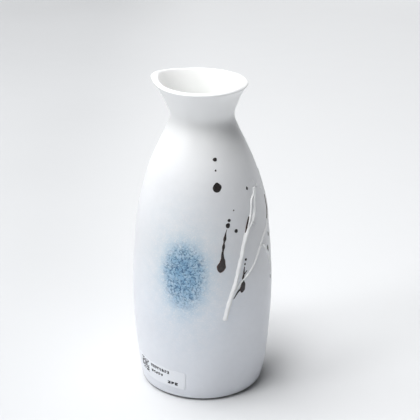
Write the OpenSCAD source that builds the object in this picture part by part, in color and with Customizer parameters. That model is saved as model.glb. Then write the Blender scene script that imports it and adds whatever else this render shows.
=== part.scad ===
// Sake bottle (tokkuri) in white-glazed ceramic, with a pinched pouring lip, raised white slip
// trails, dark iron drips, a sprayed blue patch and a paper price label near the foot.
// The base stands on z = 0 and the bottle's axis is Z. Places on the wall are given as an
// azimuth, 0 at the front (-Y) and positive towards the right (+X), and a height.

/* [Vessel outline] */
// Height of the rim, away from the lip
rim_h = 165.5; // [164:0.5:168]
// Outer radius to which the flare climbs at the rim
rim_r = 25; // [23.5:0.1:26]
// Outer radius at the waist of the neck
waist_r = 16.3; // [16:0.1:17.2]
// Height of the waist of the neck
waist_h = 148; // [146:0.5:150]
// Outer radius of the shoulder
shoulder_r = 27.9; // [26:0.1:29]
// Height at which the shoulder's radius is taken
shoulder_h = 120; // [116:0.5:124]
// Widest radius
belly_r = 37; // [35:0.1:39]
// Height of the widest place
belly_h = 54; // [45:0.5:60]
// Outer radius above the heel
heel_r = 33.7; // [32.5:0.1:35]
// Height at which the heel's radius is taken
heel_h = 8; // [6:0.5:10]

/* [Wall and foot] */
// Thickness of the whole wall, with both coats of glaze
wall = 3.5; // [3:0.1:4]
// Thickness of the wall at the rim
lip_wall = 2.6; // [2.4:0.1:3.2]
// Thickness of each coat of glaze
glaze = 0.35; // [0.2:0.05:0.5]
// Height of the floor inside, to the top of its glaze
floor_h = 7; // [6:0.5:9]
// Radius of the rounded corner between the floor and the wall inside
floor_round = 8; // [4:0.5:12]
// Outer radius of the foot ring where it stands
foot_r = 30; // [28:0.1:31]
// Width of the foot ring
foot_w = 4; // [3:0.1:6]
// Depth of the recess under the base
recess = 2.6; // [1.5:0.1:3]
// Radius of the rounded heel, where the glaze ends
heel_round = 1.5; // [1:0.1:2]
// Length of the throat, the straight bore inside the neck
throat_len = 5; // [4:0.5:6]

/* [Pouring lip] */
// Azimuth of the lip's tip
lip_az = -100; // [-120:1:-80]
// Extra thickness of the wall at the tip
lip_fill = 1.8; // [0:0.1:3]
// How far the tip is pulled out of the round
lip_pull = 0.1; // [0:0.1:3]
// Half the angle over which the tip is pinched
lip_spread = 16; // [8:1:30]
// How far the rim climbs at the tip
lip_rise = 2.3; // [0:0.1:4]
// Half the angle over which the rim climbs
rise_spread = 48; // [30:1:70]
// How far the whole mouth leans towards the lip
mouth_shift = 1; // [0:0.1:2]
// Sharpness of the rim's outer edge, where 1 is a half circle
edge_power = 0.5; // [0.4:0.05:1]

/* [Decoration] */
// Relief of the thick slip trail
thick_relief = 1.1; // [0.5:0.1:1.5]
// Relief of the thin slip trails
thin_relief = 0.7; // [0.3:0.1:1]
// Relief of the iron marks
iron_relief = 0.3; // [0.1:0.05:0.5]
// Azimuth of the middle of the blue patch
blue_az = -14.5; // [-40:0.5:10]
// Height of the middle of the blue patch
blue_h = 71; // [60:0.5:85]
// Width of the blue patch along the wall
blue_w = 27; // [15:1:35]
// Height of the blue patch along the wall
blue_len = 43; // [20:1:50]
// Thickness of the blue patch at its middle
blue_relief = 0.2; // [0.1:0.05:0.4]

/* [Label] */
// Azimuth of the middle of the label
label_az = -43.5; // [-60:0.5:-30]
// Height of the middle of the label
label_h = 12.8; // [12:0.1:18]
// Length of the label along the wall
label_len = 35; // [25:0.5:40]
// Width of the label
label_w = 10.6; // [8:0.1:12]
// Corner radius of the label
label_corner = 1.3; // [0.5:0.1:2]
// Turn of the label on the wall
label_turn = -3.5; // [-6:0.5:6]
// Thickness of the label's adhesive
adhesive_t = 0.05; // [0.03:0.01:0.1]
// Thickness of the label's paper
paper_t = 0.12; // [0.08:0.01:0.2]

/* [Hidden] */

// Outer radius against height, from the heel to the rim, with the glaze on.
OUTLINE = [
    [2.3, heel_r - 1.3], [heel_h, heel_r], [28, belly_r - 1.2], [belly_h, belly_r], [80, belly_r - 1.4],
    [100, belly_r - 3.8], [shoulder_h, shoulder_r], [134, 22.1], [141, 18.8], [waist_h, waist_r],
    [154, waist_r + 1.8], [160, rim_r - 3.8], [rim_h, rim_r]
];
WALL_STEPS = 40;       // cones in the turned wall outside
CAVITY_STEPS = 30;     // cones in the turned wall inside
MOUTH_TURNS = 72;      // flats round the mouth
MOUTH_LEVELS = 9;      // steps from the waist to the rim
LIP_STEPS = 6;         // steps over the rounded lip
PATH_STEPS = 3;        // steps between two places on a trail
DOME_STEPS = 6;        // steps across a trail
SPOT_STEPS = 8;        // steps down a spot
PATCH_TURNS = 28;      // places round the blue patch
heel_z = OUTLINE[0][0];
heel_x = OUTLINE[0][1] - heel_round;
foot_bevel = 0.5;      // bevel on each edge of the foot ring
throat_r = waist_r - wall;
throat_h = waist_h - throat_len;
throat_blend = 14;     // height over which the cavity narrows into the throat
root_len = 1.2;        // how deep the mouth's root sits in the turned wall
bed = 0.02;            // how deep a decoration is bedded in the glaze
clay_white = "#e6e0d3";
glaze_white = "#f4f5f5";
slip_white = "#fbfbf9";
iron_brown = "#2b1d18";
spray_blue = "#7fa5c8";
paper_white = "#f8f8fa";
gum_yellow = "#e9e4cf";
$fn = 96;

// ---- The outline as one smooth curve ----

// Slope at place i of a list of [position, value] pairs.
function slope(list, i) =
    let (a = list[max(i - 1, 0)], b = list[min(i + 1, len(list) - 1)])
    (b[1] - a[1]) / (b[0] - a[0]);

// Which stretch of the list holds position x.
function stretch(list, x, i = 0) =
    i >= len(list) - 2 || x < list[i + 1][0] ? i : stretch(list, x, i + 1);

// Cubic curve through the list, read at position x.
function curve(list, x) =
    let (i = stretch(list, x), a = list[i], b = list[i + 1],
         span = b[0] - a[0], t = (x - a[0]) / span, s = 1 - t)
    a[1] * s * s * (1 + 2 * t) + b[1] * t * t * (3 - 2 * t)
        + span * t * s * (slope(list, i) * s - slope(list, i + 1) * t);

function outer_r(z) = curve(OUTLINE, z);
function lean(z) = (outer_r(z + 0.1) - outer_r(z - 0.1)) / 0.2;
function ease(t) = t * t * (3 - 2 * t);
function steps(from, to, count) = [for (i = [0:count]) from + (to - from) * i / count];
function reversed(list) = [for (i = [len(list) - 1:-1:0]) list[i]];

// ---- The turned part of the vessel, below the waist ----

// Outside of the wall, drawn in by inset, from under the heel up to the waist.
function outside(inset) = concat(
    [for (a = [0:15:75]) [heel_x + (heel_round - inset) * sin(a), heel_z - (heel_round - inset) * cos(a)]],
    [for (z = steps(heel_z, waist_h, WALL_STEPS)) [outer_r(z) - inset, z]]
);

// Inside of the wall, cut away by grow, from the axis at the floor up to the waist.
floor_corner = outer_r(floor_h + floor_round) - wall - floor_round;
function cavity_r(z, grow) =
    let (free = outer_r(z) - wall, t = ease(max(0, (z - throat_h) / throat_blend + 1)))
    min(free, free * (1 - t) + throat_r * t) + grow;
function inside(grow) = concat(
    [[0, floor_h - grow]],
    [for (a = [0:15:75]) [floor_corner + (floor_round + grow) * sin(a),
                          floor_h + floor_round - (floor_round + grow) * cos(a)]],
    [for (z = steps(floor_h + floor_round, throat_h, CAVITY_STEPS)) [cavity_r(z, grow), z]],
    [[throat_r + grow, waist_h]]
);

// Underside: the recess, then the foot ring.
UNDERSIDE = [
    [0, recess], [foot_r - foot_w, recess], [foot_r - foot_w, foot_bevel],
    [foot_r - foot_w + foot_bevel, 0], [foot_r - foot_bevel, 0], [foot_r, foot_bevel]
];

module turned(outline) {
    rotate_extrude()
        polygon(outline);
}

// ---- The mouth, above the waist, with its pouring lip ----

function swing(az) = let (d = az - lip_az) d - 360 * round(d / 360);
function bell(az, spread) = exp(-pow(swing(az) / spread, 2));
function half_wall(t, fill = 0) = (wall + (lip_wall + fill - wall) * t) / 2;
function half(az, t) = half_wall(t, lip_fill * bell(az, lip_spread));

// Middle of the wall at azimuth az, t of the way from the waist to the rim, as [radius, height].
function middle(az, t) =
    let (z = waist_h + (rim_h - lip_wall / 2 - waist_h) * t)
    [
        outer_r(z) - half_wall(t) * norm([1, lean(z)])
            + ease(t) * (mouth_shift * cos(swing(az)) + lip_pull * bell(az, lip_spread)),
        z + ease(t) * lip_rise * bell(az, rise_spread)
    ];

// Direction up the wall there, in the upright plane through the axis.
function upwards(az, t) =
    let (d = middle(az, min(t + 0.02, 1)) - middle(az, max(t - 0.02, 0)))
    t == 0 ? [0, 1] : d / norm(d);

// The place at distances out and over from the wall's middle, square to the wall and along it.
function across(az, t, out, over = 0) =
    let (up = upwards(az, t)) middle(az, t) + out * [up[1], -up[0]] + over * up;

function outer_side(az, inset) =
    [for (i = [0:MOUTH_LEVELS - 1]) let (t = i / MOUTH_LEVELS) across(az, t, half(az, t) - inset)];
function inner_side(az, inset) =
    [for (i = [MOUTH_LEVELS:-1:0]) let (t = i / MOUTH_LEVELS) across(az, t, inset - half(az, t))];

// Over the lip: a crisp outer edge, then a half round down to the inner side.
function over_lip(az, inset) =
    let (h = half(az, 1) - inset)
    [for (a = steps(0, 180, LIP_STEPS))
        let (k = a < 90 ? edge_power : 1, out = sign(cos(a)) * pow(abs(cos(a)), k))
        across(az, 1, h * out, h * pow(sin(a), k))];

// Two places below the waist, between radii a and b, that root the mouth in the turned wall.
function root(a, b) = [for (r = [0.75 * a + 0.25 * b, 0.25 * a + 0.75 * b]) [r, waist_h - root_len]];

function on_wall(az, p) = [p[0] * sin(az), -p[0] * cos(az), p[1]];

// Closed ring through one outline per azimuth, each a list of [radius, height].
module ring(outlines) {
    turns = len(outlines);
    count = len(outlines[0]);
    points = [for (k = [0:turns - 1]) for (p = outlines[k]) on_wall(360 * k / turns, p)];
    faces = [
        for (k = [0:turns - 1]) for (i = [0:count - 1])
            let (j = (i + 1) % count, here = k * count, next = (k + 1) % turns * count)
            each [[here + i, here + j, next + j], [here + i, next + j, next + i]]
    ];
    polyhedron(points, faces, convexity = 6);
}
MOUTH_AZ = [for (k = [0:MOUTH_TURNS - 1]) 360 * k / MOUTH_TURNS];

// ---- Things laid on the wall ----

// Place on the wall at azimuth az and height z, lifted along the wall's normal.
function lifted(az, z, lift) =
    let (m = lean(z), n = norm([1, m])) on_wall(az, [outer_r(z) + lift / n, z - lift * m / n]);
function degrees(arc, z) = arc / outer_r(z) * 180 / PI;

// Smooth path through places [azimuth, height, half width].
function knot(path, i) = path[max(0, min(i, len(path) - 1))];
function between(path, i, t) =
    let (a = knot(path, i - 1), b = knot(path, i), c = knot(path, i + 1), d = knot(path, i + 2))
    0.5 * (2 * b + (c - a) * t + (2 * a - 5 * b + 4 * c - d) * t * t + (3 * b - a - 3 * c + d) * t * t * t);
function smooth(path) = concat(
    [for (i = [0:len(path) - 2]) for (k = [0:PATH_STEPS - 1]) between(path, i, k / PATH_STEPS)],
    [path[len(path) - 1]]
);

// Cross-section i of a trail: round on top and flat where it lies on the wall.
function section(path, i, relief, widest) =
    let (p = path[i], step = knot(path, i + 1) - knot(path, i - 1),
         along = [step[0] / degrees(1, p[1]), step[1]], side = [along[1], -along[0]] / norm(along),
         w = max(p[2], 0.1), h = relief * sqrt(w / widest))
    [for (f = steps(0, 180, DOME_STEPS)) let (s = w * cos(f))
        lifted(p[0] + degrees(s * side[0], p[1]), p[1] + s * side[1], h * sin(f) - bed)];

// A trail along a path that is already smooth, with each end closed on its own middle.
module laid(path, relief) {
    rows = len(path);
    count = DOME_STEPS + 1;
    widest = max([for (p = path) p[2]]);
    ends = [path[0], path[rows - 1]];
    points = concat(
        [for (i = [0:rows - 1]) each section(path, i, relief, widest)],
        [for (p = ends) lifted(p[0], p[1], relief / 8)]
    );
    sides = [
        for (i = [0:rows - 2]) for (k = [0:count - 1])
            let (a = i * count + k, b = i * count + (k + 1) % count)
            each [[a, b, b + count], [a, b + count, a + count]]
    ];
    caps = [
        for (k = [0:count - 1]) let (j = (k + 1) % count, base = (rows - 1) * count)
            each [[rows * count, j, k], [rows * count + 1, base + k, base + j]]
    ];
    polyhedron(points, concat(sides, caps), convexity = 8);
}
module trail(path, relief) {
    laid(smooth(path), relief);
}

// A round or upright oval spot of iron.
module spot(az, z, half_w, half_h) {
    laid([for (a = steps(10, 170, SPOT_STEPS)) [az, z + half_h * cos(a), half_w * sin(a)]], iron_relief);
}

// ---- Vessel ----

// Fired clay: floor, foot ring, wall and mouth, under the glaze.
module clay_body() {
    color(clay_white) {
        turned(concat(UNDERSIDE, outside(glaze), reversed(inside(glaze))));
        ring([for (az = MOUTH_AZ) concat(
            outer_side(az, glaze), over_lip(az, glaze), [for (i = [1:MOUTH_LEVELS]) inner_side(az, glaze)[i]],
            root(throat_r + glaze, waist_r - glaze)
        )]);
    }
}

// White glaze over the outside and the lip, down to the heel.
module outer_glaze() {
    color(glaze_white) {
        turned(concat(outside(0), reversed(outside(glaze))));
        ring([for (az = MOUTH_AZ) concat(
            outer_side(az, 0), over_lip(az, 0),
            reversed(over_lip(az, glaze)), reversed(outer_side(az, glaze)), root(waist_r - glaze, waist_r)
        )]);
    }
}

// White glaze poured inside, from the floor up to the edge of the lip.
module liner_glaze() {
    color(glaze_white) {
        turned(concat(inside(glaze), reversed(inside(0))));
        ring([for (az = MOUTH_AZ) concat(
            reversed(inner_side(az, glaze)), inner_side(az, 0), root(throat_r, throat_r + glaze)
        )]);
    }
}

// Glaze in the recess under the base.
module base_glaze() {
    color(glaze_white)
        translate([0, 0, recess - glaze])
            cylinder(r = foot_r - foot_w - foot_bevel, h = glaze);
}

// ---- Decoration ----

// Blue frit sprayed on the front, thickest in its middle.
module blue_patch() {
    reach = [0.25, 0.5, 0.75, 0.92, 1];
    rings = concat(
        [for (s = reach) [s, blue_relief * (1 - s * s) + bed]],
        [for (s = reversed(reach)) [s, -bed]]
    );
    points = concat(
        [for (r = rings) for (k = [0:PATCH_TURNS - 1])
            let (a = 360 * k / PATCH_TURNS, z = blue_h + r[0] * blue_len / 2 * sin(a))
            lifted(blue_az + degrees(r[0] * blue_w / 2 * cos(a), z), z, r[1])],
        [lifted(blue_az, blue_h, blue_relief + bed), lifted(blue_az, blue_h, -bed)]
    );
    last = len(rings) - 1;
    faces = concat(
        [for (i = [0:last - 1]) for (k = [0:PATCH_TURNS - 1])
            let (j = (k + 1) % PATCH_TURNS, a = i * PATCH_TURNS, b = a + PATCH_TURNS)
            each [[a + k, b + j, a + j], [a + k, b + k, b + j]]],
        [for (k = [0:PATCH_TURNS - 1]) let (j = (k + 1) % PATCH_TURNS, a = last * PATCH_TURNS)
            each [[len(points) - 2, k, j], [len(points) - 1, a + j, a + k]]]
    );
    color(spray_blue)
        polyhedron(points, faces, convexity = 4);
}

// Thick trail, from its thin start high on the right down to its blunt end.
LONG_PATH = [
    [61.5, 114, 0.4], [59.5, 110.5, 0.5], [56.5, 107.5, 0.5], [54.5, 103, 0.6], [50.5, 99.5, 0.9],
    [44, 95.5, 1.1], [40, 91.5, 1.2], [37, 87, 1], [34.5, 81.5, 1], [32, 77, 1.1], [29.5, 71.5, 0.9],
    [26.5, 65.5, 1.1], [23.5, 60.5, 1], [21, 55, 1], [19.5, 51, 1.1], [18.5, 48.5, 0.9]
];
module slip_trail_long() {
    color(slip_white)
        trail(LONG_PATH, thick_relief);
}

// Second strand beside the top of the thick trail, which it runs into.
TWIN_PATH = [
    [60, 114, 0.3], [57.5, 111, 0.4], [53, 109, 0.5], [50.5, 106, 0.4], [48.5, 102.5, 0.4],
    [45.5, 99, 0.5], [42.5, 96, 0.4]
];
module slip_trail_twin() {
    color(slip_white)
        difference() {
            trail(TWIN_PATH, thin_relief);
            trail(LONG_PATH, thick_relief);
        }
}

// Thin trail that climbs to the right from the thick one.
THIN_PATH = [
    [26.5, 63.5, 0.4], [30, 66, 0.4], [34.5, 69, 0.4], [40.5, 71.5, 0.4], [46, 74.5, 0.4],
    [50, 77.5, 0.5], [53, 80, 0.5], [56, 82.5, 0.5], [59.5, 83.5, 0.5], [62, 83.5, 0.4]
];
module slip_trail_thin() {
    color(slip_white)
        difference() {
            trail(THIN_PATH, thin_relief);
            trail(LONG_PATH, thick_relief);
        }
}

// Thin trail that falls away to the right from the top of the climbing one.
module slip_trail_fork() {
    color(slip_white)
        difference() {
            trail([[61, 83.5, 0.4], [65, 82, 0.6], [68, 79, 0.6], [71.5, 75.5, 0.6], [75, 71, 0.6],
                   [77.5, 67, 0.5], [79, 63.5, 0.3]], thin_relief);
            trail(THIN_PATH, thin_relief);
        }
}

// Trail that bends round the right-hand side and comes down to the thin one.
ARC_PATH = [
    [93, 119, 0.4], [92, 112, 0.7], [90, 105, 0.8], [86, 98.5, 0.8], [80, 94, 0.7], [74, 91, 0.7],
    [68, 89, 0.6], [62, 86.5, 0.6], [57.5, 83.5, 0.4]
];
module slip_trail_arc() {
    color(slip_white)
        difference() {
            trail(ARC_PATH, thin_relief);
            trail(THIN_PATH, thin_relief);
        }
}

// Loose drops of slip above and beside the trails.
module slip_drops() {
    color(slip_white) {
        trail([[62, 117.5, 0.3], [63, 117, 0.4], [63.5, 116, 0.3]], thin_relief / 2);
        trail([[64.5, 114, 0.3], [66.5, 114, 0.4], [69, 114.5, 0.3]], thin_relief / 2);
        trail([[75.5, 111, 0.3], [76.5, 110.5, 0.5], [77.5, 110, 0.3]], thin_relief / 2);
        trail([[51.5, 97.8, 0.3], [51, 97, 0.4], [50.5, 96.2, 0.3]], thin_relief / 2);
    }
}

// Spots of iron: [azimuth, height, half width, half height].
SPOTS = [
    [16, 131.5, 1, 0.8], [15.5, 126.5, 0.4, 0.4], [15.5, 118.5, 2.2, 2.2], [50, 115, 0.6, 0.8],
    [30, 106.5, 0.3, 0.3], [24.5, 102, 0.8, 0.7], [23, 99.5, 1.1, 1.2], [30.5, 96, 0.9, 0.9],
    [38.8, 79.7, 0.6, 0.6], [37.7, 77.4, 0.4, 0.6], [77, 85.5, 0.6, 1.2], [72.5, 78, 0.9, 2.3],
    [76.5, 61.5, 0.4, 1.2]
];
module iron_spots() {
    color(iron_brown)
        difference() {
            for (s = SPOTS)
                spot(s[0], s[1], s[2], s[3]);
            slip_trail_fork();
        }
}

// Beaded run that ends in a large drop.
module iron_drip_left() {
    color(iron_brown)
        trail([[22, 97.8, 0.2], [21, 96.5, 0.2], [20.3, 95, 0.5], [19.6, 93, 0.8], [18.8, 91, 0.4],
               [18.3, 89, 0.9], [17.8, 87.3, 0.5], [17.2, 85.3, 0.7], [17.2, 83, 0.9], [17.2, 81.5, 1.5],
               [16.6, 79.8, 2], [15.8, 78, 2.2], [15.2, 76.4, 1.7], [14.8, 75.4, 0.7]], iron_relief);
}

// Forked run that ends in a drop with a tail, under the thin trail.
module iron_drip_right() {
    color(iron_brown)
        difference() {
            union() {
                trail([[37.2, 76.3, 0.2], [36.5, 74.3, 0.4], [36, 72, 0.5], [35.2, 70.3, 0.6],
                       [35.2, 68.6, 0.6], [35.2, 67, 1.3], [34.8, 65.6, 1.5], [34.1, 64, 1.4],
                       [33.6, 62.3, 0.4]], iron_relief);
                trail([[40, 73.8, 0.2], [38.3, 73.1, 0.3], [36.4, 71.8, 0.4]], iron_relief);
                trail([[33.5, 64.8, 0.5], [31, 64, 0.5], [29, 62.7, 0.4], [27.3, 61.1, 0.3], [26, 59.9, 0.2]],
                      iron_relief);
            }
            trail(THIN_PATH, thin_relief);
            trail(LONG_PATH, thick_relief);
        }
}

// Narrow streaks beside the slip: one left of the strands, one along the bent trail.
module iron_streak() {
    color(iron_brown) {
        difference() {
            trail([[46, 101.5, 0.2], [44, 99.6, 0.4], [42.2, 97.3, 0.5], [40.7, 94.9, 0.4], [39, 92.5, 0.2]],
                  iron_relief);
            trail(LONG_PATH, thick_relief);
            trail(TWIN_PATH, thin_relief);
        }
        difference() {
            trail([[87.6, 105, 0.2], [86, 101.8, 0.25], [83.5, 98.7, 0.25], [80.3, 96, 0.25],
                   [76.5, 94, 0.2]], iron_relief);
            trail(ARC_PATH, thin_relief);
        }
    }
}

// ---- Price label ----

// The label's outline as a bar that runs through the wall, kept between two lifts off the wall.
module label_layer(from, to) {
    half_len = outer_r(label_h) * sin(label_len / 2 / outer_r(label_h) * 180 / PI);
    band = [for (z = steps(heel_z, waist_h, WALL_STEPS)) if (z < 2 * label_h + 5) z];
    intersection() {
        turned(concat(
            [for (z = band) [outer_r(z) + to, z]],
            [for (z = reversed(band)) [outer_r(z) + from, z]]
        ));
        rotate([0, 0, label_az])
            translate([0, 0, label_h])
                rotate([90, 0, 0])
                    linear_extrude(2 * belly_r)
                        rotate(label_turn)
                            rounded(half_len, label_w / 2);
    }
}

module rounded(x, y) {
    square([2 * x, 2 * (y - label_corner)], center = true);
    square([2 * (x - label_corner), 2 * y], center = true);
    for (i = [-1, 1], j = [-1, 1])
        translate([i * (x - label_corner), j * (y - label_corner)])
            circle(label_corner);
}

module label_adhesive() {
    color(gum_yellow)
        label_layer(0, adhesive_t);
}

module label_paper() {
    color(paper_white)
        label_layer(adhesive_t, adhesive_t + paper_t);
}

clay_body();
outer_glaze();
liner_glaze();
base_glaze();
blue_patch();
slip_trail_long();
slip_trail_twin();
slip_trail_thin();
slip_trail_fork();
slip_trail_arc();
slip_drops();
iron_spots();
iron_drip_left();
iron_drip_right();
iron_streak();
label_adhesive();
label_paper();
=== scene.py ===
"""Sake bottle (tokkuri): smooth coats of glaze, raised slip trails, iron marks, a sprayed blue
patch and a price label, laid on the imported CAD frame. Shapes are in millimetres until place()
turns them into metres; materials, camera and lights are in metres. A place on the wall is an
azimuth in degrees, 0 at the front (-Y) and positive towards the right (+X), and a height."""

import bpy
import numpy as np
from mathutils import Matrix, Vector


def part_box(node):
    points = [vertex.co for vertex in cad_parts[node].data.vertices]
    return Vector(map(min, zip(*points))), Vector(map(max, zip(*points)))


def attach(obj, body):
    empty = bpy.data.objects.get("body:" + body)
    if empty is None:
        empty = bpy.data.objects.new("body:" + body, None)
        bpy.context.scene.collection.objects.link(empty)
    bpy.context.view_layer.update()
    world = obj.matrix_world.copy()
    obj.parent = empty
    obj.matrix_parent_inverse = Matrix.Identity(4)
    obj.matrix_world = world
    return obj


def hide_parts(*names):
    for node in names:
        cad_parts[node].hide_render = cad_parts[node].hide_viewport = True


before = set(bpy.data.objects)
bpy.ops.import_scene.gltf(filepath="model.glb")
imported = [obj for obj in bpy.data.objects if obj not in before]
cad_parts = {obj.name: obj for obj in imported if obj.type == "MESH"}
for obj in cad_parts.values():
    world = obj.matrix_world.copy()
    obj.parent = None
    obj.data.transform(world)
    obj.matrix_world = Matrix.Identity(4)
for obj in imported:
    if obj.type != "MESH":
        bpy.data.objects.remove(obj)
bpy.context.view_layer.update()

MM = 0.001

# ---- Dimensions of the vessel, read off the frame or as the CAD model has them ----

BELLY_R = round(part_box("outer_glaze")[1].y / MM, 1)
LIP_RISE, LIP_FILL = 2.3, 1.8
RIM_H = round(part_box("outer_glaze")[1].z / MM - LIP_RISE - LIP_FILL / 2, 1)
HEEL_R = BELLY_R - 3.3
HEEL_EDGE_R = HEEL_R - 1.3     # where the outside glaze turns under the heel
WAIST_R, WAIST_H, RIM_R = 16.3, 148, 25
WALL, LIP_WALL, GLAZE = 3.5, 2.6, 0.35
FLOOR_H, FLOOR_ROUND = 7, 8
FOOT_R, FOOT_W, FOOT_BEVEL, RECESS = 30, 4, 0.5, 2.6
HEEL_H, HEEL_ROUND = 2.3, 1.5
THROAT_H, THROAT_BLEND = 143, 14
LIP_AZ, LIP_PULL, LIP_SPREAD, RISE_SPREAD = -100, 0.1, 16, 48
MOUTH_SHIFT = 1
FLICK, FLICK_AZ, FLICK_SPREAD = 0.55, -87, 13    # a fine upward flick that points the tip more than in CAD
EDGE_POWER = 0.5       # sharpness of the rim's outer edge, where 1 is a half circle

# Outer radius against height, from the heel to the rim.
OUTLINE = np.array([
    (HEEL_H, HEEL_EDGE_R), (8, HEEL_R), (28, BELLY_R - 1.2), (54, BELLY_R), (80, BELLY_R - 1.4),
    (100, BELLY_R - 3.8), (120, 27.9), (134, 22.1), (141, 18.8), (WAIST_H, WAIST_R), (154, WAIST_R + 1.8),
    (160, RIM_R - 3.8), (RIM_H, RIM_R),
], float)
# Slope at each of those places, from the place before it to the place after it.
BEFORE, AFTER = np.r_[0, :len(OUTLINE) - 1], np.r_[1:len(OUTLINE), len(OUTLINE) - 1]
SLOPES = (OUTLINE[AFTER, 1] - OUTLINE[BEFORE, 1]) / (OUTLINE[AFTER, 0] - OUTLINE[BEFORE, 0])

TURNS = 256            # places round the vessel
WALL_STEP = 1.0        # height between two rings of the wall
MOUTH_LEVELS = 26      # rings from the waist to the rim
LIP_LEVELS = 22        # rings over the lip
HIDDEN_STEP = 6.0      # height between two rings where one layer hides another
HIDDEN_LEVELS = 8      # rings up the mouth or over the lip there
SWELL = 0.045          # how far the wall wanders in and out
AZ = np.arange(TURNS) * 360 / TURNS


# ---- The vessel's curves, as in the CAD model but for the flick at the tip ----

def outer_r(z):
    """Outer radius at height z, on one smooth cubic curve through the outline."""
    z = np.asarray(z, float)
    i = np.clip(np.searchsorted(OUTLINE[:, 0], z, side="right") - 1, 0, len(OUTLINE) - 2)
    span = OUTLINE[i + 1, 0] - OUTLINE[i, 0]
    t = (z - OUTLINE[i, 0]) / span
    s = 1 - t
    ends = OUTLINE[i, 1] * s * s * (1 + 2 * t) + OUTLINE[i + 1, 1] * t * t * (3 - 2 * t)
    return ends + span * t * s * (SLOPES[i] * s - SLOPES[i + 1] * t)


def lean(z):
    """Slope of the outline at height z."""
    return (outer_r(z + 0.1) - outer_r(z - 0.1)) / 0.2


def ease(t):
    t = np.clip(t, 0, 1)
    return t * t * (3 - 2 * t)


def cavity_r(z):
    """Radius inside the glazed cavity, which narrows into the throat."""
    free, t = outer_r(z) - WALL, ease((z - THROAT_H) / THROAT_BLEND + 1)
    return np.minimum(free, free * (1 - t) + (WAIST_R - WALL) * t)


def swing(az, centre):
    """Degrees from centre to az, the short way round."""
    return (az - centre + 180) % 360 - 180


def bell(az, spread, centre=LIP_AZ):
    return np.exp(-(swing(az, centre) / spread) ** 2)


def half_wall(t):
    """Half the mouth's wall t of the way up, away from the lip's tip."""
    return (WALL + (LIP_WALL - WALL) * t) / 2


def half(az, t):
    """Half the thickness of the mouth's wall, which is filled out at the lip's tip."""
    return half_wall(t) + LIP_FILL * t * bell(az, LIP_SPREAD) / 2


def middle(az, t):
    """Middle of the mouth's wall as [radius, height], t of the way from the waist to the rim."""
    z = WAIST_H + (RIM_H - LIP_WALL / 2 - WAIST_H) * t
    pull = MOUTH_SHIFT * np.cos(np.radians(swing(az, LIP_AZ))) + LIP_PULL * bell(az, LIP_SPREAD)
    r = outer_r(z) - half_wall(t) * np.hypot(1, lean(z)) + ease(t) * pull
    climb = LIP_RISE * bell(az, RISE_SPREAD) + FLICK * bell(az, FLICK_SPREAD, FLICK_AZ)
    return np.stack([r, z + ease(t) * climb], -1)


def across(az, t, out, over=0.0):
    """Places at distances out from the middle of the mouth's wall and over along it."""
    up = middle(az, min(t + 0.02, 1)) - middle(az, max(t - 0.02, 0))
    up /= np.linalg.norm(up, axis=-1, keepdims=True)
    square = np.stack([up[..., 1], -up[..., 0]], -1)
    out, over = np.broadcast_arrays(out, over)
    return middle(az, t) + out[..., None] * square + over[..., None] * up


# ---- From curves to points in the frame ----

def waves(points, size, seed, count=16):
    """Smooth field of about unit strength over points, with bumps about size across."""
    rng = np.random.default_rng(seed)
    ways = rng.normal(size=(count, 3))
    ways *= 2 * np.pi / size * rng.uniform(0.6, 1.5, (count, 1)) / np.linalg.norm(ways, axis=1)[:, None]
    phases = rng.uniform(0, 2 * np.pi, count)
    return np.sin(points @ ways.T + phases).sum(-1) / np.sqrt(count / 2)


def place(az, rz):
    """Points in the frame, in metres, at azimuth az and [radius, height] in millimetres."""
    angle = np.radians(az)
    return np.stack([rz[..., 0] * np.sin(angle), -rz[..., 0] * np.cos(angle), rz[..., 1]], -1) * MM


def swell(az, rz):
    """How far the glazed surface stands proud of its true curve there: a hand's unevenness."""
    points = place(az, rz) / MM
    return SWELL * (0.8 * waves(points, 26, 3) + 0.2 * waves(points, 9, 4))


def swollen(az, rows):
    """Rings of [radius, height] pushed out along their own normal by the swell."""
    along = np.gradient(rows, axis=0)
    along /= np.maximum(np.linalg.norm(along, axis=-1, keepdims=True), 1e-9)
    out = np.stack([along[..., 1], -along[..., 0]], -1)
    return rows + out * swell(az, rows)[..., None]


def lifted(az, z, lift):
    """Places on the wall in metres, lifted along the wall's normal and following its swell."""
    az, z, lift = np.broadcast_arrays(np.asarray(az, float), z, lift)
    foot = np.stack([outer_r(z), z], -1)
    rise, m = lift + swell(az, foot), lean(z)
    n = np.hypot(1, m)
    return place(az, foot + rise[..., None] * np.stack([1 / n, -m / n], -1))


def degrees(arc, z):
    """An arc in millimetres round the wall at height z, as an angle."""
    return np.degrees(arc / outer_r(z))


# ---- From points to pieces ----

def piece(name, points, faces, material, slot, nodes, sharp=()):
    """Smooth closed mesh that rides on the bottle and stands for these CAD nodes."""
    mesh = bpy.data.meshes.new(name)
    mesh.from_pydata(points.reshape(-1, 3).tolist(), [], faces)
    corners = points.reshape(-1, 3)[[(f[0], f[i], f[i + 1]) for f in faces for i in range(1, len(f) - 1)]]
    if np.einsum("ij,ij->", corners[:, 0], np.cross(corners[:, 1], corners[:, 2])) < 0:
        mesh.flip_normals()
    mesh.shade_smooth()
    if len(sharp):
        crease = set(map(tuple, np.sort(sharp, axis=1).tolist()))
        for edge in mesh.edges:
            edge.use_edge_sharp = tuple(sorted(edge.vertices)) in crease
    made = bpy.data.objects.new(name, mesh)
    bpy.context.scene.collection.objects.link(made)
    mesh.materials.append(material)
    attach(made, "root")
    if nodes:
        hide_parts(*nodes)
    return made


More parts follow.
